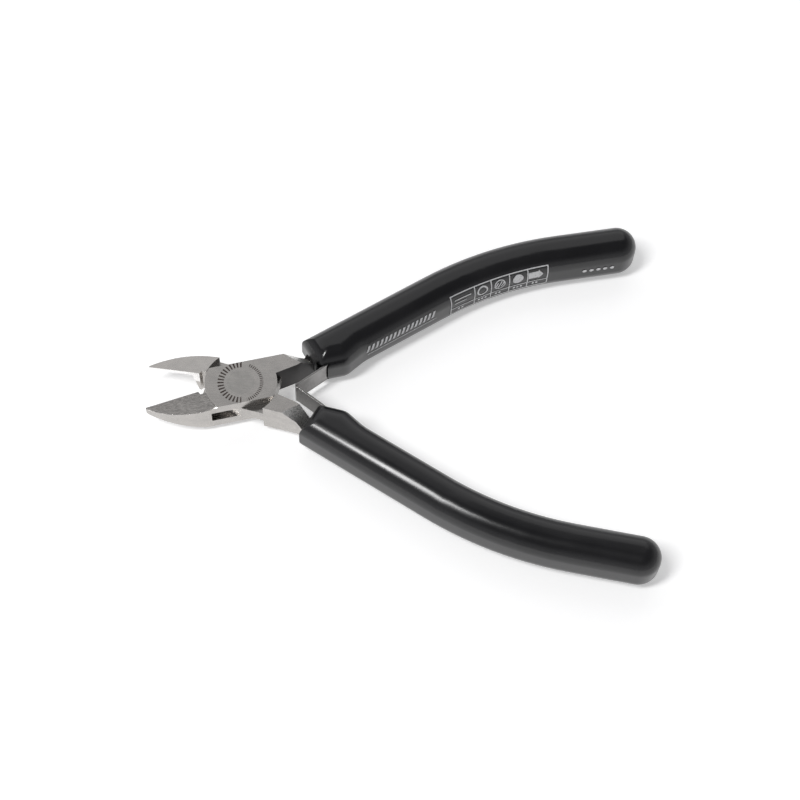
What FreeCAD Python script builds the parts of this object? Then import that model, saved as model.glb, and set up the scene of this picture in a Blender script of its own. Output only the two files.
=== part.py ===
import FreeCAD, Part
import math
import os
import Sketcher
from FreeCAD import Placement, Rotation, Vector

# Small side cutter with a box joint and dipped grips, lying flat and sprung open.
# Frame: X runs from the pivot to the grips, Z is up, and the origin is on the
# pivot's axis in the plane of the joint's underside. Each arm is drawn as it
# stands when the jaws are shut, then its Placement turns it open about Z.

doc = FreeCAD.newDocument("flush_cutter")
sizes = doc.addObject("Spreadsheet::Sheet", "sizes")

CELLS = {
    "open_half_angle": 13.9,      # each arm's turn from shut to open
    "arm_thick": 8.8,
    # joint
    "joint_half_width": 5.5,
    "cheek_radius": 8.7,
    "joint_gap": 0.2,             # between a cheek's end and the other arm's shoulder
    "slot_radius": 10.0,
    "slot_gap": 0.15,             # round the neck's ends
    "slot_thick": 3.5,
    "neck_play": 0.1,             # above and below the neck, in all
    "neck_inset": 0.05,
    "neck_half_long": 8.4,        # to the flats that keep its ends under the cheeks
    "rivet_radius": 2.5,
    "rivet_play": 0.05,
    "rivet_head_radius": 3.3,
    "rivet_head_deep": 0.8,
    # jaws
    "tip_reach": 23.3,
    "nose_width": 0.4,
    "jaw_bulge": 24.1,
    "jaw_root_reach": 8.5,
    "jaw_inner_reach": 6.0,
    "edge_gap": 0.03,             # from each edge to the line where they meet
    "relief_reach": 10.0,
    "relief_run": 0.4,
    "relief_deep": 0.8,
    "over_cut": 0.6,
    "cut_start": 4.0,
    "cut_end": 24.5,
    "edge_start_high": 9.6,
    "edge_end_high": 5.17,
    "edge_slope": 12.2,
    "flush_tilt": 6.8,            # of the flush face, away from the cutting edge
    "cutter_half_width": 7.0,
    "cutter_top": 12.0,
    "bevel_start": 10.8,
    "bevel_wide": 4.67,
    "ridge_high": 6.87,           # square to the edge, at the bevel's start
    "under_cut": 0.5,
    "taper_start": 9.6,
    "taper_end": 26.0,
    "taper_high": 4.1,
    # tangs: one straight run from the joint, a long bend at the knee, and a tail
    "tang_root": 6.0,
    "tang_root_in": 0.15,
    "tang_bend_x": 14.1,
    "tang_bend_in": 1.75,
    "tang_waist_x": 20.9,
    "tang_waist_in": 4.4,
    "tang_half_width": 2.5,
    "tang_short": 3.0,            # from the tang's end to the middle of the grip's round end
    "run_angle": 19.0,
    "drop_angle": 3.2,
    "knee_x": 68.35,
    "knee_y": 21.17,
    "knee_radius": 88.0,
    "tail_least": 1.0,            # straight left between the knee's arc and the tang's end
    "end_x": 101.0,
    # facet ground on the tang's outer corner, ahead of the grip
    "facet_turn": 43.1,
    "facet_near": 11.93,
    "facet_far": 15.9,
    "facet_back": 18.4,
    "facet_deep": 5.2,
    "facet_reach": 40.0,
    # ears under the tang that carry the spring leaf on a pin
    "ear_front_x": 22.4,
    "ear_front_in": 2.4,
    "ear_front_round": 0.8,
    "ear_low_x": 25.9,
    "ear_low_in": 1.7,
    "ear_low_round": 1.2,
    "ear_back_x": 28.3,
    "pin_x": 24.5,
    "pin_in": 3.9,
    "pin_radius": 0.75,
    # spring leaf, rolled round its pin and curled at its free end
    "eye_play": 0.05,
    "eye_radius": 1.3,
    "leaf_thick": 0.5,
    "leaf_wide": 6.8,
    "leaf_bend_x": 21.0,
    "leaf_bend_in": 0.62,
    "leaf_end_x": 13.42,
    "leaf_end_in": 2.81,
    "curl_radius": 0.6,
    "curl_turn": 65.0,
    # room for the leaf as it bends, inside the ears and the grip's mouth
    "leaf_side_play": 0.2,        # of the leaf between the ears, in all
    "swing_back_x": 26.0,
    "swing_top_x": 23.2,
    "swing_top_in": 5.4,
    "fork_front_x": 21.5,
    "fork_front_in": 3.6,
    "fork_low_in": 1.0,
    "swing_low_in": 2.35,
    "swing_low_x": 23.7,
    "swing_knee_x": 21.4,
    "swing_knee_in": 0.2,
    "swing_front_x": 15.5,
    "swing_front_low": 2.6,
    "swing_front_high": 2.5,
    "swing_mid_x": 20.0,
    "swing_mid_in": 2.6,
    # grips
    "grip_half_width": 5.05,
    "grip_high": 12.1,
    "grip_round_share": 0.87,     # of the half width, along both long edges
    "end_round_share": 0.99,      # of the half width, round the end
    "mouth_out_x": 16.8,
    "mouth_in_x": 19.3,
    "mouth_in": 0.2,
    "mouth_corner": 1.0,
    "belly_x": 26.4,              # end of the flat that clears the other grip when shut
    "belly_round": 4.0,
    "flare_x": 31.5,
    "flare_round": 12.0,
}
for row, (name, number) in enumerate(CELLS.items(), start=1):
    sizes.set(f"A{row}", name)
    sizes.set(f"B{row}", str(number))
    sizes.setAlias(f"B{row}", name)
doc.recompute()


def terms(text):
    """A sum of signed size names, as (sign, name) pairs."""
    parts = text.replace("-", "+-").split("+")
    return [(-1, p[1:]) if p[0] == "-" else (1, p) for p in parts if p]


def value(term):
    """The number of a sum of size names, or of a (number, expression) pair."""
    if isinstance(term, tuple):
        return term[0]
    return sum(sign * float(sizes.get(name)) for sign, name in terms(term))


def formula(term, sign=1):
    """The same, as an expression on the sheet."""
    if isinstance(term, tuple):
        return f"{sign} * ({term[1]})"
    body = " + ".join(f"{s} * sizes.{name}" for s, name in terms(term)) or "0"
    return f"{sign} * ({body})"


def sketch_on(body, name, role, offset=None, tilt=None, lift=0.0):
    """A sketch on one of the body's origin planes, offset along it or tilted and then lifted."""
    plane = next(f for f in body.Origin.OriginFeatures if f.Role == role)
    sketch = body.newObject("Sketcher::SketchObject", name)
    sketch.AttachmentSupport = [(plane, "")]
    sketch.MapMode = "FlatFace"
    rotation = tilt or Rotation()
    sketch.AttachmentOffset = Placement(rotation.multVec(Vector(0, 0, lift)), rotation)
    if offset:
        sketch.setExpression("AttachmentOffset.Base.z", offset)
    doc.recompute()
    return sketch


def drive(sketch, constraint, name, expression):
    index = sketch.addConstraint(constraint)
    sketch.renameConstraint(index, name)
    sketch.setExpression(f"Constraints.{name}", expression)


def fix_point(sketch, geometry, position, name, corner, sign):
    x, y = corner
    at = (value(x), sign * value(y))
    for axis, term, number, way in (("X", x, at[0], 1), ("Y", y, at[1], sign)):
        bound = Sketcher.Constraint(f"Distance{axis}", -1, 1, geometry, position, number)
        drive(sketch, bound, f"{name}_{axis.lower()}", formula(term, way))


def polygon(sketch, corners, sign=1):
    """A closed outline. A corner is (name, x, y) or (name, x, y, radius); y is times sign."""
    points = [Vector(value(c[1]), sign * value(c[2]), 0) for c in corners]
    count = len(corners)
    trims = []
    for i, corner in enumerate(corners):
        here = points[i]
        back = (points[i - 1] - here).normalize()
        ahead = (points[(i + 1) % count] - here).normalize()
        if len(corner) == 4:
            half = back.getAngle(ahead) / 2
            run = value(corner[3]) / math.tan(half)
            trims.append((here + back * run, here + ahead * run, back, ahead, half))
        else:
            trims.append((here, here, back, ahead, None))
    lines = []
    for i in range(count):
        side = Part.LineSegment(trims[i][1], trims[(i + 1) % count][0])
        lines.append(sketch.addGeometry(side, False))
    for i, corner in enumerate(corners):
        before, after = lines[i - 1], lines[i]
        enter, leave, back, ahead, half = trims[i]
        name, x, y = corner[:3]
        if half is None:
            sketch.addConstraint(Sketcher.Constraint("Coincident", before, 2, after, 1))
            fix_point(sketch, after, 1, name, (x, y), sign)
            continue
        radius = value(corner[3])
        centre = points[i] + (back + ahead).normalize() * (radius / math.sin(half))
        first, last = enter - centre, leave - centre
        ccw = first.cross(last).z > 0
        ends = (first, last) if ccw else (last, first)
        angles = [math.atan2(v.y, v.x) for v in ends]
        circle = Part.Circle(centre, Vector(0, 0, 1), radius)
        arc = sketch.addGeometry(Part.ArcOfCircle(circle, *angles), False)
        sketch.addConstraint(Sketcher.Constraint("Tangent", before, 2, arc, 1 if ccw else 2))
        sketch.addConstraint(Sketcher.Constraint("Tangent", after, 1, arc, 2 if ccw else 1))
        bound = Sketcher.Constraint("Radius", arc, radius)
        drive(sketch, bound, f"{name}_r", formula(corner[3]))
        vertex = sketch.addGeometry(Part.Point(points[i]), True)
        for line in (before, after):
            sketch.addConstraint(Sketcher.Constraint("PointOnObject", vertex, 1, line))
        fix_point(sketch, vertex, 1, name, (x, y), sign)


def circle(sketch, radius, x=None, y=None, sign=1):
    at = Vector(value(x), sign * value(y), 0) if x else Vector()
    index = sketch.addGeometry(Part.Circle(at, Vector(0, 0, 1), value(radius)), False)
    bound = Sketcher.Constraint("Radius", index, value(radius))
    drive(sketch, bound, "round", formula(radius))
    if x:
        fix_point(sketch, index, 3, "middle", (x, y), sign)
    else:
        sketch.addConstraint(Sketcher.Constraint("Coincident", index, 3, -1, 1))


def barrel(sketch, radius, half_width):
    """A disc about the pivot with its two sides cut flat."""
    r, w = value(radius), value(half_width)
    reach = math.sqrt(r * r - w * w)
    lean = math.asin(w / r)
    normal = Vector(0, 0, 1)
    top = sketch.addGeometry(Part.LineSegment(Vector(reach, w), Vector(-reach, w)), False)
    low = sketch.addGeometry(Part.LineSegment(Vector(-reach, -w), Vector(reach, -w)), False)
    right = Part.ArcOfCircle(Part.Circle(Vector(), normal, r), -lean, lean)
    left = Part.ArcOfCircle(Part.Circle(Vector(), normal, r), math.pi - lean, math.pi + lean)
    right = sketch.addGeometry(right, False)
    left = sketch.addGeometry(left, False)
    for a, i, b, j in ((top, 1, right, 2), (top, 2, left, 1), (low, 1, left, 2), (low, 2, right, 1)):
        sketch.addConstraint(Sketcher.Constraint("Coincident", a, i, b, j))
    for arc in (right, left):
        sketch.addConstraint(Sketcher.Constraint("Coincident", arc, 3, -1, 1))
    for line in (top, low):
        sketch.addConstraint(Sketcher.Constraint("Horizontal", line))
    sketch.addConstraint(Sketcher.Constraint("Equal", right, left))
    drive(sketch, Sketcher.Constraint("Radius", right, r), "round", formula(radius))
    for name, line, way in (("top_y", top, 1), ("low_y", low, -1)):
        bound = Sketcher.Constraint("DistanceY", -1, 1, line, 1, way * w)
        drive(sketch, bound, name, formula(half_width, way))


def feature(body, kind, name, sketch, expressions):
    made = body.newObject(f"PartDesign::{kind}", name)
    made.Profile = sketch
    for prop, expression in expressions.items():
        made.setExpression(prop, expression)
    doc.recompute()
    return made


def pocket(body, name, sketch, expressions):
    before = body.Shape.Volume
    made = feature(body, "Pocket", name, sketch, expressions)
    if body.Shape.Volume > before - 0.05:
        raise RuntimeError(f"{name} took nothing off")
    return made


def new_body(name, side):
    """A body that turns about the pivot with the arm on the side given."""
    body = doc.addObject("PartDesign::Body", name)
    body.Label = name
    body.Placement = opened(side)
    return body


def opened(side):
    return Placement(Vector(), Rotation(Vector(0, 0, 1), side * value("open_half_angle")))


def jaw(body, side):
    """A jaw on the y side given: blank, flush face, tapered underside, back bevel, land."""
    outline = sketch_on(body, f"{body.Name}_jaw_outline", "XY_Plane")
    names = [
        ("root_in", "-jaw_inner_reach", "relief_deep"),
        ("relief", "-relief_reach", "relief_deep"),
        ("edge_root", "-relief_reach-relief_run", "edge_gap"),
        ("edge_tip", "-tip_reach", "edge_gap"),
        ("nose", "-tip_reach", "nose_width"),
        ("root_out", "-jaw_root_reach", "joint_half_width"),
        ("root_back", "-jaw_inner_reach", "joint_half_width"),
    ]
    points = [Vector(value(x), side * value(y), 0) for _, x, y in names]
    radius = value("jaw_bulge")
    nose = [name for name, _, _ in names].index("nose")
    index = []
    for i, point in enumerate(points):
        ahead = points[(i + 1) % len(points)]
        if i != nose:
            index.append(outline.addGeometry(Part.LineSegment(point, ahead), False))
            continue
        half = (ahead - point) * 0.5
        inward = Vector(half.y, -half.x, 0).normalize() * side
        centre = point + half + inward * math.sqrt(radius ** 2 - half.Length ** 2)
        first, last = (ahead, point) if side > 0 else (point, ahead)
        angles = [math.atan2((p - centre).y, (p - centre).x) for p in (first, last)]
        arc = Part.ArcOfCircle(Part.Circle(centre, Vector(0, 0, 1), radius), *angles)
        index.append(outline.addGeometry(arc, False))
    bulge = index[nose]
    start, end = (2, 1) if side > 0 else (1, 2)
    for i, geo in enumerate(index):
        after = index[(i + 1) % len(index)]
        from_end = end if geo == bulge else 2
        to_start = start if after == bulge else 1
        outline.addConstraint(Sketcher.Constraint("Coincident", geo, from_end, after, to_start))
    for i, (name, x, y) in enumerate(names):
        position = start if index[i] == bulge else 1
        fix_point(outline, index[i], position, name, (x, y), side)
    drive(outline, Sketcher.Constraint("Radius", bulge, radius), "bulge", formula("jaw_bulge"))
    feature(body, "Pad", f"{body.Name}_jaw", outline, {"Length": "sizes.arm_thick"})

    # flush face: falls toward the tip, and a little away from the cutting edge
    tilt = Rotation(Vector(1, 0, 0), -side * value("flush_tilt"))
    lift = value("cutter_half_width")
    flush = sketch_on(body, f"{body.Name}_flush_outline", "XZ_Plane", tilt=tilt, lift=lift)
    polygon(flush, [
        ("root", "-cut_start", "edge_start_high"),
        ("tip", "-cut_end", "edge_end_high"),
        ("tip_top", "-cut_end", "cutter_top"),
        ("root_top", "-cut_start", "cutter_top"),
    ])
    pocket(body, f"{body.Name}_flush_face", flush, {"Length": "2 * sizes.cutter_half_width"})
    # back bevel: a V under the edge that runs parallel to it and leaves a narrow land
    tilt = Rotation(Vector(1, 0, 0), -value("edge_slope"))
    bevel = sketch_on(body, f"{body.Name}_bevel_outline", "YZ_Plane", "-sizes.bevel_start", tilt=tilt)
    points_on_plane(bevel, [
        ("inner", "-over_cut", "ridge_high"),
        ("land", "edge_gap", "ridge_high"),
        ("outer", "bevel_wide", "-under_cut"),
        ("inner_low", "-over_cut", "-under_cut"),
    ], side)
    pocket(body, f"{body.Name}_back_bevel", bevel, {"Length": "sizes.cut_end"})
    # the underside rises toward the tip
    taper = sketch_on(body, f"{body.Name}_taper_outline", "XZ_Plane", "sizes.cutter_half_width")
    polygon(taper, [
        ("start", "-taper_start", ""),
        ("high", "-taper_end", "taper_high"),
        ("low", "-taper_end", "-under_cut"),
        ("start_low", "-taper_start", "-under_cut"),
    ])
    pocket(body, f"{body.Name}_taper", taper, {"Length": "2 * sizes.cutter_half_width"})


def points_on_plane(sketch, corners, side):
    """A sharp polygon on a YZ plane: sketch x is the arm's y, times side."""
    points = [Vector(side * value(y), value(z), 0) for _, y, z in corners]
    lines = []
    for i, point in enumerate(points):
        ahead = points[(i + 1) % len(points)]
        lines.append(sketch.addGeometry(Part.LineSegment(point, ahead), False))
    for i, (name, y, z) in enumerate(corners):
        sketch.addConstraint(Sketcher.Constraint("Coincident", lines[i - 1], 2, lines[i], 1))
        across = Sketcher.Constraint("DistanceX", -1, 1, lines[i], 1, points[i].x)
        drive(sketch, across, f"{name}_y", formula(y, side))
        up = Sketcher.Constraint("DistanceY", -1, 1, lines[i], 1, points[i].y)
        drive(sketch, up, f"{name}_z", formula(z))


def on_run(x, offset):
    """The y at x of a line beside the handle's straight run, offset away from the midline."""
    run = math.radians(value("run_angle"))
    y = value("knee_y") + (value(x) - value("knee_x")) * math.tan(run) + value(offset) / math.cos(run)
    text = (f"sizes.knee_y + ({formula(x)} - sizes.knee_x) * tan(sizes.run_angle * 1deg)"
            f" + {formula(offset)} / cos(sizes.run_angle * 1deg)")
    return y, text


def run_reaches(y, offset):
    """The x at which a line beside the straight run reaches y."""
    run = math.radians(value("run_angle"))
    x = value("knee_x") + (value(y) - value("knee_y") - value(offset) / math.cos(run)) / math.tan(run)
    text = (f"sizes.knee_x + ({formula(y)} - sizes.knee_y - {formula(offset)}"
            f" / cos(sizes.run_angle * 1deg)) / tan(sizes.run_angle * 1deg)")
    return x, text


def at_knee(offset):
    """The corner at the knee of the two lines beside the run and the tail, as (x, y)."""
    turn = math.radians(value("run_angle") + value("drop_angle")) / 2
    lean = math.radians(value("run_angle") - value("drop_angle")) / 2
    reach = value(offset) / math.cos(turn)
    reach_text = f"{formula(offset)} / cos((sizes.run_angle + sizes.drop_angle) / 2 * 1deg)"
    lean_text = "((sizes.run_angle - sizes.drop_angle) / 2 * 1deg)"
    return (
        (value("knee_x") - reach * math.sin(lean), f"sizes.knee_x - {reach_text} * sin{lean_text}"),
        (value("knee_y") + reach * math.cos(lean), f"sizes.knee_y + {reach_text} * cos{lean_text}"),
    )


def at_end(back, offset):
    """A point beside the tail, set back along it from the handle's end, as (x, y)."""
    drop = math.radians(value("drop_angle"))
    end_y = value("knee_y") - (value("end_x") - value("knee_x")) * math.tan(drop)
    x = value("end_x") - value(back) * math.cos(drop) + value(offset) * math.sin(drop)
    y = end_y + value(back) * math.sin(drop) + value(offset) * math.cos(drop)
    angle = "(sizes.drop_angle * 1deg)"
    x_text = f"sizes.end_x - {formula(back)} * cos{angle} + {formula(offset)} * sin{angle}"
    y_text = (f"sizes.knee_y - (sizes.end_x - sizes.knee_x) * tan{angle}"
              f" + {formula(back)} * sin{angle} + {formula(offset)} * cos{angle}")
    return (x, x_text), (y, y_text)


def knee_arc(offset):
    """The knee's radius beside the middle line, no longer than the tail has room for."""
    turn = math.radians(value("run_angle") + value("drop_angle")) / 2
    drop = math.radians(value("drop_angle"))
    tail = (value("end_x") - value("knee_x")) / math.cos(drop) - value("tang_short+tail_least")
    room_text = ("((sizes.end_x - sizes.knee_x) / cos(sizes.drop_angle * 1deg)"
                 f" - {formula('tang_short+tail_least')})"
                 " / tan((sizes.run_angle + sizes.drop_angle) / 2 * 1deg)")
    radius = min(value("knee_radius"), tail / math.tan(turn)) + value(offset)
    return radius, f"min(sizes.knee_radius; {room_text}) + {formula(offset)}"


MIDDLE = "sizes.arm_thick / 2"
SLOT_TOP = f"{MIDDLE} + sizes.slot_thick / 2"
NECK = "(sizes.slot_thick - sizes.neck_play)"


def tang(body, side):
    """A tang with its facet, and the ears, slot and pin hole of its spring leaf."""
    inner, outer = "-tang_half_width", "tang_half_width"
    outline = sketch_on(body, f"{body.Name}_tang_outline", "XY_Plane")
    polygon(outline, [
        ("root_in", "tang_root", "tang_root_in"),
        ("bend", "tang_bend_x", "tang_bend_in"),
        ("waist", "tang_waist_x", "tang_waist_in"),
        ("ear_front", "ear_front_x", "ear_front_in", "ear_front_round"),
        ("ear_low", "ear_low_x", "ear_low_in", "ear_low_round"),
        ("ear_back", "ear_back_x", on_run("ear_back_x", inner)),
        ("knee_in", *at_knee(inner), knee_arc(inner)),
        ("end_in", *at_end("tang_short", inner)),
        ("end_out", *at_end("tang_short", outer)),
        ("knee_out", *at_knee(outer), knee_arc(outer)),
        ("shoulder", run_reaches("joint_half_width", outer), "joint_half_width"),
        ("root_out", "tang_root", "joint_half_width"),
    ], side)
    feature(body, "Pad", f"{body.Name}_tang", outline, {"Length": "sizes.arm_thick"})
    tilt = Rotation(Vector(0, 1, 0), -side * value("facet_turn"))
    lift = value("facet_reach") / 2
    facet = sketch_on(body, f"{body.Name}_facet_outline", "YZ_Plane", tilt=tilt, lift=lift)
    points_on_plane(facet, [
        ("near", "facet_near", "arm_thick"),
        ("far", "facet_far", "arm_thick-facet_deep"),
        ("back", "facet_back", "arm_thick"),
        ("back_top", "facet_back", "arm_thick+over_cut"),
        ("near_top", "facet_near", "arm_thick+over_cut"),
    ], side)
    pocket(body, f"{body.Name}_facet", facet, {"Length": "sizes.facet_reach"})
    fork = sketch_on(body, f"{body.Name}_fork_outline", "XY_Plane", SWING_TOP)
    polygon(fork, [
        ("low", "fork_front_x", "fork_low_in"),
        ("front", "fork_front_x", "fork_front_in"),
        ("top", "swing_top_x", "swing_top_in"),
        ("back", "swing_back_x", "swing_top_in"),
        ("back_low", "swing_back_x", "fork_low_in"),
    ], side)
    pocket(body, f"{body.Name}_fork", fork, {"Length": SWING_WIDE})
    bore = sketch_on(body, f"{body.Name}_pin_circle", "XY_Plane", "sizes.arm_thick")
    circle(bore, "pin_radius", "pin_x", "pin_in", side)
    pocket(body, f"{body.Name}_pin_hole", bore, {"Length": "sizes.arm_thick"})


SWING_WIDE = "(sizes.leaf_wide + sizes.leaf_side_play)"
SWING_TOP = f"{MIDDLE} + {SWING_WIDE} / 2"

# Outer arm: one jaw, the joint's two cheeks with the slot between them, and the far tang.
outer = new_body("outer_arm", 1)
jaw(outer, -1)
cheeks = sketch_on(outer, "cheeks_outline", "XY_Plane")
barrel(cheeks, "cheek_radius", "joint_half_width")
feature(outer, "Pad", "cheeks", cheeks, {"Length": "sizes.arm_thick"})
tang(outer, 1)
slot = sketch_on(outer, "slot_circle", "XY_Plane", SLOT_TOP)
circle(slot, "slot_radius")
pocket(outer, "slot", slot, {"Length": "sizes.slot_thick"})

# Inner arm: the other jaw, the neck that fills the slot, and the near tang.
inner = new_body("inner_arm", -1)
neck = sketch_on(inner, "neck_outline", "XY_Plane", f"{MIDDLE} - {NECK} / 2")
barrel(neck, "slot_radius-slot_gap", "joint_half_width-neck_inset")
feature(inner, "Pad", "neck", neck, {"Length": NECK})
for end, way in (("front", "-"), ("rear", "")):
    flat = sketch_on(inner, f"neck_{end}_outline", "XY_Plane", "sizes.arm_thick")
    polygon(flat, [
        ("near_low", f"{way}neck_half_long", "-cheek_radius"),
        ("far_low", f"{way}slot_radius", "-cheek_radius"),
        ("far_high", f"{way}slot_radius", "cheek_radius"),
        ("near_high", f"{way}neck_half_long", "cheek_radius"),
    ])
    pocket(inner, f"neck_{end}_flat", flat, {"Length": "sizes.arm_thick"})
jaw(inner, 1)
tang(inner, -1)
for name, start in (("shoulder_top", "sizes.arm_thick"), ("shoulder_low", f"{MIDDLE} - {NECK} / 2")):
    ring = sketch_on(inner, f"{name}_circle", "XY_Plane", start)
    circle(ring, "cheek_radius+joint_gap")
    pocket(inner, name, ring, {"Length": f"{MIDDLE} - {NECK} / 2"})


def rivet_profile(body, name):
    """Half of the rivet's section: a shank with a countersunk head at each end, ground flush."""
    profile = sketch_on(body, name, "XZ_Plane")
    polygon(profile, [
        ("foot", "", ""),
        ("low", "rivet_head_radius", ""),
        ("low_neck", "rivet_radius", "rivet_head_deep"),
        ("top_neck", "rivet_radius", "arm_thick-rivet_head_deep"),
        ("top", "rivet_head_radius", "arm_thick"),
        ("head", "", "arm_thick"),
    ])
    return profile


def turned(body, kind, name):
    made = body.newObject(f"PartDesign::{kind}", name)
    made.Profile = rivet_profile(body, f"{name}_profile")
    made.ReferenceAxis = (made.Profile[0], ["V_Axis"])
    made.Angle = 360
    doc.recompute()


rivet = new_body("pivot_rivet", 1)
turned(rivet, "Revolution", "rivet_turned")
turned(outer, "Groove", "rivet_seat")
bore = sketch_on(inner, "rivet_bore_circle", "XY_Plane", "sizes.arm_thick")
circle(bore, "rivet_radius+rivet_play")
pocket(inner, "rivet_bore", bore, {"Length": "sizes.arm_thick"})


def leaf_strip(side):
    """A spring leaf: rolled eye, one bend inside the grip's mouth, and a curled free end."""
    across = Vector(0, 0, 1)
    half = value("leaf_thick") / 2
    wide = value("leaf_wide")
    low = (value("arm_thick") - wide) / 2
    pin = Vector(value("pin_x"), value("pin_in"), low)
    bend = Vector(value("leaf_bend_x"), value("leaf_bend_in"), low)
    end = Vector(value("leaf_end_x"), -value("leaf_end_in"), low)
    first, second = (bend - pin).normalize(), (end - bend).normalize()
    ring = value("eye_radius")
    start = pin + first * (ring - half)
    mitre = math.tan(first.getAngle(second) / 2) * half
    curl = value("curl_radius")
    centre = end + second.cross(across) * curl
    sides = []
    for way in (1, -1):
        off = [across.cross(d) * (half * way) for d in (first, second)]
        knee = bend + off[1] + second * (mitre * way)
        arc = []
        for part in (0, 0.5, 1):
            ray = Rotation(across, -value("curl_turn") * part).multVec(end - centre)
            arc.append(centre + ray * ((curl + half * way) / curl))
        sides.append([start + off[0], knee, arc])
    (a_start, a_knee, a_arc), (b_start, b_knee, b_arc) = sides
    edges = [
        Part.LineSegment(a_start, a_knee),
        Part.LineSegment(a_knee, a_arc[0]),
        Part.Arc(*a_arc),
        Part.LineSegment(a_arc[2], b_arc[2]),
        Part.Arc(*reversed(b_arc)),
        Part.LineSegment(b_arc[0], b_knee),
        Part.LineSegment(b_knee, b_start),
        Part.LineSegment(b_start, a_start),
    ]
    outline = Part.Wire([edge.toShape() for edge in edges])
    strip = Part.Face(outline).extrude(Vector(0, 0, wide))
    eye = Part.makeCylinder(ring, wide, pin)
    bore = Part.makeCylinder(value("pin_radius") + value("eye_play"), wide, pin)
    shape = strip.fuse(eye).cut(bore).removeSplitter()
    return shape if side > 0 else shape.mirror(Vector(), Vector(0, 1, 0))


def grip_skin(name, side):
    """The dipped grip as one solid, before its arm and pin are taken out of it."""
    wide = "grip_half_width"
    body = new_body(name, side)
    outline = sketch_on(body, f"{name}_outline", "XY_Plane", f"{MIDDLE} - sizes.grip_high / 2")
    end_round = (value(wide) * value("end_round_share"), f"sizes.{wide} * sizes.end_round_share")
    polygon(outline, [
        ("mouth_out", "mouth_out_x", on_run("mouth_out_x", wide)),
        ("mouth_in", "mouth_in_x", "mouth_in", "mouth_corner"),
        ("belly", "belly_x", "mouth_in", "belly_round"),
        ("flare", "flare_x", on_run("flare_x", f"-{wide}"), "flare_round"),
        ("knee_in", *at_knee(f"-{wide}"), knee_arc(f"-{wide}")),
        ("end_in", *at_end(f"-{wide}", f"-{wide}"), end_round),
        ("end_out", *at_end(f"-{wide}", wide), end_round),
        ("knee_out", *at_knee(wide), knee_arc(wide)),
    ], side)
    pad = feature(body, "Pad", f"{name}_pad", outline, {"Length": "sizes.grip_high"})
    mouth = Vector(value("mouth_out_x"), side * on_run("mouth_out_x", wide)[0], 0)
    mouth_in = Vector(value("mouth_in_x"), side * value("mouth_in"), 0)
    normal = (mouth_in - mouth).cross(Vector(0, 0, 1)).normalize()
    long_edges = []
    for number, edge in enumerate(pad.Shape.Edges, start=1):
        level = edge.BoundBox.ZMax - edge.BoundBox.ZMin < 0.001
        middle = edge.valueAt((edge.FirstParameter + edge.LastParameter) / 2)
        if level and abs((middle - mouth).dot(normal)) > 0.01:
            long_edges.append(f"Edge{number}")
    soft = body.newObject("PartDesign::Fillet", f"{name}_soft")
    soft.Base = (pad, long_edges)
    soft.setExpression("Radius", f"sizes.{wide} * sizes.grip_round_share")
    doc.recompute()
    room = sketch_on(body, f"{name}_swing", "XY_Plane", SWING_TOP)
    polygon(room, [
        ("back_top", "swing_back_x", "swing_top_in"),
        ("back", "swing_back_x", "swing_low_in"),
        ("low", "swing_low_x", "swing_low_in"),
        ("knee", "swing_knee_x", "swing_knee_in"),
        ("front_low", "swing_front_x", "-swing_front_low"),
        ("front_high", "swing_front_x", "swing_front_high"),
        ("mid", "swing_mid_x", "swing_mid_in"),
        ("fork", "fork_front_x", "fork_front_in"),
        ("top", "swing_top_x", "swing_top_in"),
    ], side)
    pocket(body, f"{name}_swing_room", room, {"Length": SWING_WIDE})
    return body


pieces = {"outer_arm": outer, "inner_arm": inner, "pivot_rivet": rivet}
for hand, side, arm in (("outer", 1, outer), ("inner", -1, inner)):
    pin = new_body(f"{hand}_spring_pin", side)
    round_end = sketch_on(pin, f"{hand}_spring_pin_circle", "XY_Plane")
    circle(round_end, "pin_radius", "pin_x", "pin_in", side)
    feature(pin, "Pad", f"{hand}_spring_pin_pad", round_end, {"Length": "sizes.arm_thick"})
    leaf = doc.addObject("Part::Feature", f"{hand}_spring_leaf")
    leaf.Shape = leaf_strip(side)
    leaf.Placement = opened(side)
    skin = grip_skin(f"{hand}_grip_skin", side)
    hollow = doc.addObject("Part::Cut", f"{hand}_grip_hollow")
    hollow.Base, hollow.Tool = skin, arm
    grip = doc.addObject("Part::Cut", f"{hand}_grip")
    grip.Base, grip.Tool = hollow, pin
    pieces[f"{hand}_spring_pin"] = pin
    pieces[f"{hand}_spring_leaf"] = leaf
    pieces[f"{hand}_grip"] = grip
doc.recompute()

bad = [o.Name for o in doc.Objects if "Invalid" in o.State or "Error" in o.State]
if bad:
    raise RuntimeError(f"not built: {bad}")
os.makedirs("parts", exist_ok=True)
for node, piece in pieces.items():
    piece.Label = node
    shape = piece.Shape
    if shape.isNull() or not shape.isValid() or len(shape.Solids) != 1:
        raise RuntimeError(f"{node}: {len(shape.Solids)} solids, valid {shape.isValid()}")
    shape.exportStep(f"parts/{node}.step")
    box = shape.BoundBox
    print(f"{node:20s} {shape.Volume:9.1f} mm3  x {box.XMin:7.2f} {box.XMax:7.2f}"
          f"  y {box.YMin:7.2f} {box.YMax:7.2f}  z {box.ZMin:6.2f} {box.ZMax:6.2f}")
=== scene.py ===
import math
import bmesh
import bpy
from mathutils import Matrix, Vector


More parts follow.
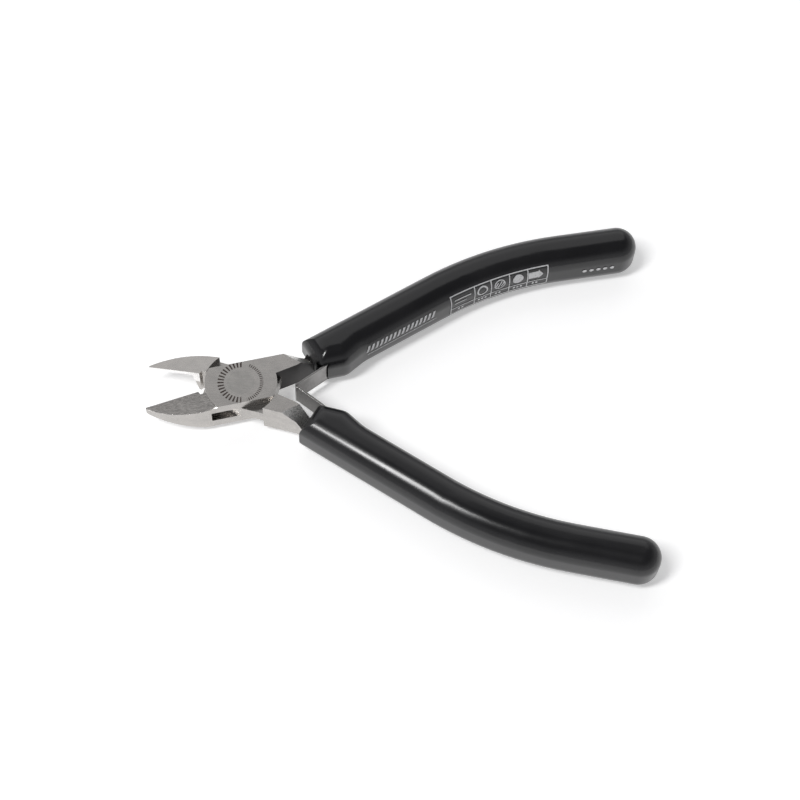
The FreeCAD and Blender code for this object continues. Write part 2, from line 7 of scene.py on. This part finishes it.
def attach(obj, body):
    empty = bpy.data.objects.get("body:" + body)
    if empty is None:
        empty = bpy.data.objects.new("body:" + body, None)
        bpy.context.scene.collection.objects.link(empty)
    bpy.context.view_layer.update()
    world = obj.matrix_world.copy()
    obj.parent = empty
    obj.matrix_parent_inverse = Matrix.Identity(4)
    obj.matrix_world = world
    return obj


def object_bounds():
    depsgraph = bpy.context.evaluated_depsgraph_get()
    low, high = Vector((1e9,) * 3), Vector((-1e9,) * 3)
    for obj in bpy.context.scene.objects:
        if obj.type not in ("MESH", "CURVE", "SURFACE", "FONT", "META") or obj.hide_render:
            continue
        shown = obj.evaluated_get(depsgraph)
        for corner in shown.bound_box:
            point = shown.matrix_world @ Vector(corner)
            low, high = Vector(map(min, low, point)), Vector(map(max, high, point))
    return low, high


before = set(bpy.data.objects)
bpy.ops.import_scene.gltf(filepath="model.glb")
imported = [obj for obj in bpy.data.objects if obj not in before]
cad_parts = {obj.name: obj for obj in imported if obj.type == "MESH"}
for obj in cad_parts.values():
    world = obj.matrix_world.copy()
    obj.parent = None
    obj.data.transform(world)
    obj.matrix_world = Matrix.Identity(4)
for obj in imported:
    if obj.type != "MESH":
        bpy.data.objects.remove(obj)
cad_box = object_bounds()

# The two forged arms. Drop-forged tool steel, ground flat on the joint and the jaws' flush
# faces, left dark and pebbled from the forge on the tangs' facets and their inner flanks,
# and rubbed bright along every edge, that bright edge colour being partly wear and partly a painted
# highlight.
GROUND = (0.50, 0.48, 0.46, 1)
GROUND_DULL = (0.44, 0.425, 0.41, 1)
SCALE = (0.05, 0.048, 0.048, 1)
FORGED = (0.82, 0.81, 0.79, 1)
# The polished land at the cutting edges, painted near white as a highlight.
POLISHED_LAND_HIGHLIGHT = (0.95, 0.94, 0.93, 1)
ETCHED = (0.06, 0.045, 0.04, 1)


def soften(name, width, angle, edge_slot=-1):
    """Breaks an edge by width, where its faces turn by more than angle; edge_slot is its material."""
    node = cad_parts[name]
    weld = node.modifiers.new("weld", "WELD")
    weld.merge_threshold = 0.000005
    edge = node.modifiers.new("edge", "BEVEL")
    edge.width = width
    edge.segments = 3
    edge.limit_method = "ANGLE"
    edge.angle_limit = math.radians(angle)
    edge.use_clamp_overlap = True
    edge.material = edge_slot
    for polygon in node.data.polygons:
        polygon.use_smooth = True
    flat = node.modifiers.new("flat", "WEIGHTED_NORMAL")
    flat.weight = 90


def new_material(name):
    """A material with its Principled shader, and the tree they are in."""
    made = bpy.data.materials.new(name)
    made.use_nodes = True
    return made, made.node_tree, made.node_tree.nodes["Principled BSDF"]


def math_node(tree, operation, first, second=None, clamp=False):
    node = tree.nodes.new("ShaderNodeMath")
    node.operation = operation
    node.use_clamp = clamp
    for socket, value in zip(node.inputs, (first, second)):
        if isinstance(value, (int, float)):
            socket.default_value = value
        elif value is not None:
            tree.links.new(value, socket)
    return node.outputs[0]


def blend_colour(tree, mask, first, second):
    """first where mask is 0, second where it is 1; each a colour or a socket."""
    node = tree.nodes.new("ShaderNodeMix")
    node.data_type = "RGBA"
    tree.links.new(mask, node.inputs[0])
    for socket, value in ((node.inputs[6], first), (node.inputs[7], second)):
        if isinstance(value, tuple):
            socket.default_value = value
        else:
            tree.links.new(value, socket)
    return node.outputs[2]


def ramp(tree, value, low, high, from_value=0.0, to_value=1.0):
    node = tree.nodes.new("ShaderNodeMapRange")
    node.interpolation_type = "SMOOTHSTEP"
    tree.links.new(value, node.inputs["Value"])
    node.inputs["From Min"].default_value = low
    node.inputs["From Max"].default_value = high
    node.inputs["To Min"].default_value = from_value
    node.inputs["To Max"].default_value = to_value
    return node.outputs["Result"]


def noise(tree, vector, scale, detail=3.0, roughness=0.55):
    node = tree.nodes.new("ShaderNodeTexNoise")
    node.inputs["Scale"].default_value = scale
    node.inputs["Detail"].default_value = detail
    node.inputs["Roughness"].default_value = roughness
    tree.links.new(vector, node.inputs["Vector"])
    return node.outputs["Fac"]


def stretched(tree, vector, scale, turn=0.0):
    node = tree.nodes.new("ShaderNodeMapping")
    node.inputs["Scale"].default_value = scale
    node.inputs["Rotation"].default_value = (0, 0, turn)
    tree.links.new(vector, node.inputs["Vector"])
    return node.outputs["Vector"]


def grinding_group():
    """Fine grinding marks with a slow mottle, as wheel-ground and tumbled steel has."""
    group = bpy.data.node_groups.new("grinding_marks", "ShaderNodeTree")
    for name, kind, way in (
        ("Place", "NodeSocketVector", "INPUT"),
        ("Marks", "NodeSocketFloat", "OUTPUT"),
        ("Mottle", "NodeSocketFloat", "OUTPUT"),
        ("Specks", "NodeSocketFloat", "OUTPUT"),
    ):
        group.interface.new_socket(name, in_out=way, socket_type=kind)
    start = group.nodes.new("NodeGroupInput")
    end = group.nodes.new("NodeGroupOutput")
    place = start.outputs["Place"]
    along = noise(group, stretched(group, place, (260, 5200, 5200)), 1.0, 4.0, 0.6)
    mottle = noise(group, place, 420, 4.0, 0.6)
    specks = noise(group, place, 5200, 2.0, 0.7)
    group.links.new(along, end.inputs["Marks"])
    group.links.new(mottle, end.inputs["Mottle"])
    group.links.new(specks, end.inputs["Specks"])
    return group


GRINDING = grinding_group()


def marks_on(tree, place):
    node = tree.nodes.new("ShaderNodeGroup")
    node.node_tree = GRINDING
    tree.links.new(place, node.inputs["Place"])
    return node.outputs["Marks"], node.outputs["Mottle"], node.outputs["Specks"]


def add_bump(tree, shader, height, strength, distance):
    bump = tree.nodes.new("ShaderNodeBump")
    bump.inputs["Strength"].default_value = strength
    bump.inputs["Distance"].default_value = distance
    tree.links.new(height, bump.inputs["Height"])
    tree.links.new(bump.outputs["Normal"], shader.inputs["Normal"])


def arm_steel(name, inner_way, etched):
    """Ground steel, dark on the tang's flank that faces inner_way in y, and on its facet."""
    made, tree, shader = new_material(name)
    place = tree.nodes.new("ShaderNodeTexCoord")
    here = tree.nodes.new("ShaderNodeSeparateXYZ")
    facing = tree.nodes.new("ShaderNodeSeparateXYZ")
    tree.links.new(place.outputs["Object"], here.inputs[0])
    tree.links.new(place.outputs["Normal"], facing.inputs[0])
    x, y, z = here.outputs
    up, side = facing.outputs["Z"], facing.outputs["Y"]
    marks, mottle, specks = marks_on(tree, place.outputs["Object"])
    behind = ramp(tree, x, 0.0075, 0.0085)
    inward = math_node(tree, "MULTIPLY", side, inner_way)
    flank = math_node(tree, "MULTIPLY", ramp(tree, inward, 0.45, 0.6), behind)
    sloped = math_node(tree, "MULTIPLY", ramp(tree, up, 0.2, 0.35), ramp(tree, up, 0.8, 0.7))
    facet = math_node(tree, "MULTIPLY", sloped, behind)
    # The narrow land along the jaws' cutting edges: polished steel, painted near white as a highlight.
    ahead = math_node(tree, "MULTIPLY", ramp(tree, x, -0.0100, -0.0103), ramp(tree, z, 0.0040, 0.0045))
    land_highlight = math_node(tree, "MULTIPLY", ramp(tree, inward, -0.5, -0.7), ahead)
    ground = blend_colour(tree, ramp(tree, mottle, 0.3, 0.8), GROUND, GROUND_DULL)
    pebbles = blend_colour(tree, ramp(tree, specks, 0.30, 0.58), SCALE, FORGED)
    colour = blend_colour(tree, facet, ground, pebbles)
    colour = blend_colour(tree, flank, colour, SCALE)
    colour = blend_colour(tree, land_highlight, colour, POLISHED_LAND_HIGHLIGHT)
    forged = math_node(tree, "MAXIMUM", flank, facet)
    rough = ramp(tree, marks, 0.3, 0.7, 0.22, 0.29)
    rough = math_node(tree, "ADD", rough, math_node(tree, "MULTIPLY", forged, 0.15))
    if etched:
        ink = etching(tree, x, y, z, specks)
        colour = blend_colour(tree, ink, colour, ETCHED)
        rough = math_node(tree, "ADD", rough, math_node(tree, "MULTIPLY", ink, 0.25))
    shader.inputs["Metallic"].default_value = 1.0
    tree.links.new(colour, shader.inputs["Base Color"])
    tree.links.new(rough, shader.inputs["Roughness"])
    relief = math_node(tree, "MULTIPLY", specks, math_node(tree, "MULTIPLY", facet, 8.0))
    add_bump(tree, shader, math_node(tree, "ADD", marks, relief), 0.2, 0.00001)
    return made


def etching(tree, x, y, z, specks):
    """The etched ring of index strokes round the rivet, on the upper flat only."""
    reach = math_node(tree, "SQRT", math_node(
        tree, "ADD", math_node(tree, "MULTIPLY", x, x), math_node(tree, "MULTIPLY", y, y)))
    angle = math_node(tree, "ARCTAN2", y, x)
    forward = math_node(tree, "COSINE", angle)
    left = ramp(tree, forward, 0.12, 0.02)
    right = ramp(tree, forward, 0.3, 0.4)
    bold = strokes(tree, reach, angle, left, 0.0041, 0.0056, 36, 0.1)
    fine = strokes(tree, reach, angle, right, 0.0046, 0.0054, 60, 0.2)
    top = ramp(tree, z, 0.00875, 0.00879)
    ink = math_node(tree, "MULTIPLY", math_node(tree, "MAXIMUM", bold, fine), top)
    return math_node(tree, "MULTIPLY", ink, ramp(tree, specks, 0.3, 0.55, 0.7, 1.0))


def strokes(tree, reach, angle, where, inner, outer, count, share):
    """Upright strokes between two radii, count of them to a full turn."""
    wave = math_node(tree, "SINE", math_node(tree, "MULTIPLY", angle, count))
    band = math_node(tree, "MULTIPLY",
                     ramp(tree, reach, inner - 0.00004, inner + 0.00004),
                     ramp(tree, reach, outer + 0.00004, outer - 0.00004))
    bars = math_node(tree, "MULTIPLY", ramp(tree, wave, share - 0.2, share + 0.2), band)
    return math_node(tree, "MULTIPLY", bars, where)


def plain_steel(name, bright, dull, low, high):
    """Ground steel between two colours, its roughness running from low to high."""
    made, tree, shader = new_material(name)
    place = tree.nodes.new("ShaderNodeTexCoord").outputs["Object"]
    marks, mottle, specks = marks_on(tree, place)
    colour = blend_colour(tree, ramp(tree, mottle, 0.3, 0.8), bright, dull)
    shader.inputs["Metallic"].default_value = 1.0
    tree.links.new(colour, shader.inputs["Base Color"])
    tree.links.new(ramp(tree, marks, 0.3, 0.7, low, high), shader.inputs["Roughness"])
    add_bump(tree, shader, marks, 0.2, 0.000008)
    return made


# The bevel colour on every edge: real wear, painted brighter than the steel as a highlight along the
# edges.
edge_wear_and_highlight = plain_steel("edge_wear_and_highlight", (0.80, 0.79, 0.77, 1), (0.62, 0.61, 0.59, 1), 0.20, 0.32)
for name, inner_way in (("outer_arm", -1.0), ("inner_arm", 1.0)):
    soften(name, 0.00012, 20, 1)
    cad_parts[name].data.materials.clear()
    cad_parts[name].data.materials.append(arm_steel(f"{name}_steel", inner_way, name == "outer_arm"))
    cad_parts[name].data.materials.append(edge_wear_and_highlight)

# The pivot rivet and the two spring pins. Turned from rod, set into their holes and then
# ground flush, so the grinding marks run straight across them.
rivet_steel = plain_steel("rivet_steel", (0.49, 0.475, 0.455, 1), (0.40, 0.39, 0.375, 1), 0.24, 0.36)
for name in ("pivot_rivet", "outer_spring_pin", "inner_spring_pin"):
    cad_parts[name].data.materials.clear()
    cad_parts[name].data.materials.append(rivet_steel)

# The two leaf springs. Blued strip steel rubbed back to grey, with bright sheared edges whose brightness
# is partly wear and partly a painted highlight.
leaf_steel = plain_steel("leaf_steel", (0.30, 0.29, 0.285, 1), (0.20, 0.195, 0.19, 1), 0.26, 0.42)
for name in ("outer_spring_leaf", "inner_spring_leaf"):
    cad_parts[name].data.materials.clear()
    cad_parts[name].data.materials.append(leaf_steel)
    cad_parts[name].data.materials.append(edge_wear_and_highlight)
    soften(name, 0.00008, 30, 1)

# The two grips. Soft vinyl that the tangs are dipped in: glossy, with a faint orange peel,
# a little dust, and a slow change of gloss where hands hold them.
def dipped_vinyl():
    made, tree, shader = new_material("dipped_vinyl")
    place = tree.nodes.new("ShaderNodeTexCoord").outputs["Object"]
    peel = noise(tree, place, 900, 2.0, 0.5)
    slow = noise(tree, place, 60, 3.0, 0.5)
    dust = noise(tree, place, 7000, 2.0, 0.8)
    specks = ramp(tree, dust, 0.68, 0.78, 0.0, 0.25)
    handled = ramp(tree, slow, 0.3, 0.7)
    colour = blend_colour(tree, handled, (0.005, 0.005, 0.006, 1), (0.008, 0.0078, 0.009, 1))
    colour = blend_colour(tree, specks, colour, (0.05, 0.05, 0.05, 1))
    tree.links.new(colour, shader.inputs["Base Color"])
    tree.links.new(ramp(tree, slow, 0.3, 0.7, 0.20, 0.27), shader.inputs["Roughness"])
    shader.inputs["Specular IOR Level"].default_value = 0.65
    add_bump(tree, shader, peel, 0.12, 0.00006)
    return made


vinyl = dipped_vinyl()
for name in ("outer_grip", "inner_grip"):
    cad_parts[name].data.materials.clear()
    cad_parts[name].data.materials.append(vinyl)
    soften(name, 0.0007, 35)

# The printed label on the outer grip's inner flank. Pale ink stamped on the vinyl after
# dipping: a hatched band, a small table of the wires the tool cuts, and a row of dots.
RUN, DROP = math.radians(19.0), math.radians(3.2)
KNEE = Vector((0.06835, 0.02117, 0))
KNEE_RADIUS, GRIP_HALF_WIDTH, GRIP_HALF_HIGH, GRIP_ROUND = 0.088, 0.00505, 0.00605, 0.0044
KNEE_RUN = KNEE_RADIUS * math.tan((RUN + DROP) / 2)
KNEE_LONG = KNEE_RADIUS * (RUN + DROP)
OPEN = Matrix.Rotation(math.radians(13.9), 3, "Z")
INK_PROUD = 0.0001
INK_STEP = 0.0006
LINE = 0.0003


def on_grip(along, around):
    """A point on the outer grip, along its middle line from the knee and around it from the top."""
    start = KNEE - KNEE_RUN * Vector((math.cos(RUN), math.sin(RUN), 0))
    turned = min(max(along, 0.0), KNEE_LONG) / KNEE_RADIUS
    lean = RUN - turned
    bend = Vector((math.sin(RUN) - math.sin(lean), math.cos(lean) - math.cos(RUN), 0))
    middle = start + KNEE_RADIUS * bend
    beyond = along - min(max(along, 0.0), KNEE_LONG)
    middle += beyond * Vector((math.cos(lean), math.sin(lean), 0))
    flat = GRIP_HALF_WIDTH - GRIP_ROUND
    curve = GRIP_ROUND + INK_PROUD
    turn = min(max(around - flat, 0.0) / GRIP_ROUND, math.pi / 2)
    down = max(around - flat - GRIP_ROUND * math.pi / 2, 0.0)
    out = min(around, flat) + curve * math.sin(turn)
    high = GRIP_HALF_HIGH - GRIP_ROUND + curve * math.cos(turn) - down
    flank = middle + out * Vector((math.sin(lean), -math.cos(lean), 0))
    return OPEN @ flank + Vector((0, 0, 0.0044 + high))


label_mesh = bmesh.new()


def ink_bar(left, right, high, low, lean=0.0):
    """A bar between two places along the grip, leaning by lean along it, cut fine enough to wrap."""
    steps = max(1, round((right - left) / INK_STEP))
    rows = max(1, round((low - high) / INK_STEP))
    made = bmesh.ops.create_grid(label_mesh, x_segments=steps, y_segments=rows, size=0.5)["verts"]
    bmesh.ops.scale(label_mesh, verts=made, vec=(right - left, low - high, 1))
    for vert in made:
        vert.co.x += vert.co.y * lean
    bmesh.ops.translate(label_mesh, verts=made, vec=((left + right) / 2, (high + low) / 2, 0))


def cut_fine(verts):
    """Cuts a flat shape into small faces, so that it wraps round the grip."""
    edges = {edge for vert in verts for edge in vert.link_edges}
    bmesh.ops.subdivide_edges(label_mesh, edges=list(edges), cuts=3, use_grid_fill=True)


def ink_disc(along, around, radius, hole=0.0):
    made = bmesh.ops.create_circle(
        label_mesh, cap_ends=True, cap_tris=not hole, segments=28, radius=radius)["verts"]
    bmesh.ops.translate(label_mesh, verts=made, vec=(along, around, 0))
    if hole:
        face = made[0].link_faces[0]
        bmesh.ops.inset_region(label_mesh, faces=[face], thickness=radius - hole, use_boundary=True)
        bmesh.ops.delete(label_mesh, geom=[face], context="FACES")
    else:
        cut_fine(made)


cells = (0.0018, 0.0090, 0.0139, 0.0192, 0.0244, 0.0300)
top, rule, foot = 0.0045, 0.0092, 0.0112
for at in (top, rule, foot):
    ink_bar(cells[0], cells[-1], at, at + LINE)
for edge in cells:
    ink_bar(edge, edge + LINE, top, foot)
for number, (left, right) in enumerate(zip(cells, cells[1:])):
    middle = (left + right) / 2
    for dot in range(2 + number % 2):
        ink_bar(middle - 0.0012 + dot * 0.001, middle - 0.0006 + dot * 0.001, rule + 0.0007, foot - 0.0006)
ink_bar(0.0030, 0.0080, 0.0061, 0.0064)
ink_bar(0.0030, 0.0066, 0.0073, 0.0076)
ink_disc(0.01145, 0.0069, 0.0016, 0.00115)
ink_disc(0.01655, 0.0069, 0.0016, 0.0013)
for shift in (-0.0009, 0.0, 0.0009):
    half = math.sqrt(0.00135 ** 2 - shift ** 2) * 0.72
    ink_bar(0.01655 + shift - 0.0002, 0.01655 + shift + 0.0002, 0.0069 - half, 0.0069 + half, -0.6)
ink_disc(0.0218, 0.0069, 0.0015)
ink_bar(0.0248, 0.0276, 0.0058, 0.0080)
head = ((0.0276, 0.0054, 0), (0.0289, 0.0069, 0), (0.0276, 0.0084, 0))
point = [label_mesh.verts.new(place) for place in head]
label_mesh.faces.new(point)
cut_fine(point)
for stroke in range(16):
    left = -0.0229 + stroke * 0.00127
    ink_bar(left, left + 0.00062, 0.0060, 0.0081, -0.35)
ink_bar(-0.0228, -0.0026, 0.0091, 0.0093)
ink_disc(-0.0272, 0.0079, 0.0017, 0.0011)
for dot in range(5):
    ink_disc(0.0402 + dot * 0.0018, 0.0087, 0.00055)
for vert in label_mesh.verts:
    vert.co = on_grip(vert.co.x, vert.co.y)
for face in label_mesh.faces:
    face.normal_update()
    if face.normal.dot(OPEN @ Vector((0.3, -0.8, 0.0)) + Vector((0, 0, 0.6))) < 0:
        face.normal_flip()
label_data = bpy.data.meshes.new("grip_label")
label_mesh.to_mesh(label_data)
label_mesh.free()
label = bpy.data.objects.new("grip_label", label_data)
bpy.context.scene.collection.objects.link(label)
ink, tree, shader = new_material("label_ink")
place = tree.nodes.new("ShaderNodeTexCoord").outputs["Object"]
worn = ramp(tree, noise(tree, place, 2600, 3.0, 0.7), 0.3, 0.5)
colour = blend_colour(tree, worn, (0.26, 0.26, 0.265, 1), (0.60, 0.60, 0.61, 1))
tree.links.new(colour, shader.inputs["Base Color"])
tree.links.new(ramp(tree, noise(tree, place, 900), 0.3, 0.7, 0.45, 0.6), shader.inputs["Roughness"])
label_data.materials.append(ink)
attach(label, "outer")

# A pale bench top, a camera in front of the tool and above it, and soft studio light.
floor_high = cad_box[0][2] - 0.0001
bpy.ops.mesh.primitive_plane_add(size=6, location=(0, 0, floor_high))
floor = bpy.context.object
floor.name = "bench_top"
paper, tree, shader = new_material("pale_paper")
shader.inputs["Base Color"].default_value = (0.92, 0.92, 0.92, 1)
shader.inputs["Roughness"].default_value = 0.9
shader.inputs["Emission Color"].default_value = (1, 1, 1, 1)
shader.inputs["Emission Strength"].default_value = 0.35
floor.data.materials.append(paper)

look = Vector((0.03218, 0.48547, -0.87366))
camera = bpy.data.objects.new("camera", bpy.data.cameras.new("camera"))
bpy.context.scene.collection.objects.link(camera)
camera.data.lens = 75.17
camera.data.sensor_width = 36
camera.data.clip_start = 0.01
camera.location = (0.02528, -0.19796, 0.35755)
aim = look.to_track_quat("-Z", "Y").to_matrix() @ Matrix.Rotation(math.radians(4.26), 3, "Z")
camera.rotation_euler = aim.to_euler()
bpy.context.scene.camera = camera


def soft_box(name, toward, distance, size, power):
    """A square lamp that stands toward a direction from the tool and faces it."""
    middle = Vector((0.04, 0, 0))
    lamp = bpy.data.objects.new(name, bpy.data.lights.new(name, "AREA"))
    bpy.context.scene.collection.objects.link(lamp)
    lamp.data.shape = "RECTANGLE"
    lamp.data.size, lamp.data.size_y = size
    lamp.data.energy = power
    lamp.location = middle + Vector(toward).normalized() * distance
    lamp.rotation_euler = (-Vector(toward)).to_track_quat("-Z", "Y").to_euler()


soft_box("back_box", (-0.12, 0.70, 0.70), 1.2, (1.7, 0.9), 2.9)
soft_box("left_strip", (-0.43, -0.23, 0.87), 1.2, (0.2, 0.5), 8)
world = bpy.data.worlds.new("studio")
bpy.context.scene.world = world
world.use_nodes = True
tree = world.node_tree
sky = tree.nodes.new("ShaderNodeSeparateXYZ")
tree.links.new(tree.nodes.new("ShaderNodeTexCoord").outputs["Generated"], sky.inputs[0])
fade = ramp(tree, sky.outputs["Z"], 0.25, 0.75)
walls = blend_colour(tree, fade, (0.50, 0.50, 0.51, 1), (0.13, 0.13, 0.135, 1))
tree.links.new(walls, tree.nodes["Background"].inputs["Color"])
bpy.context.scene.view_settings.view_transform = "Standard"
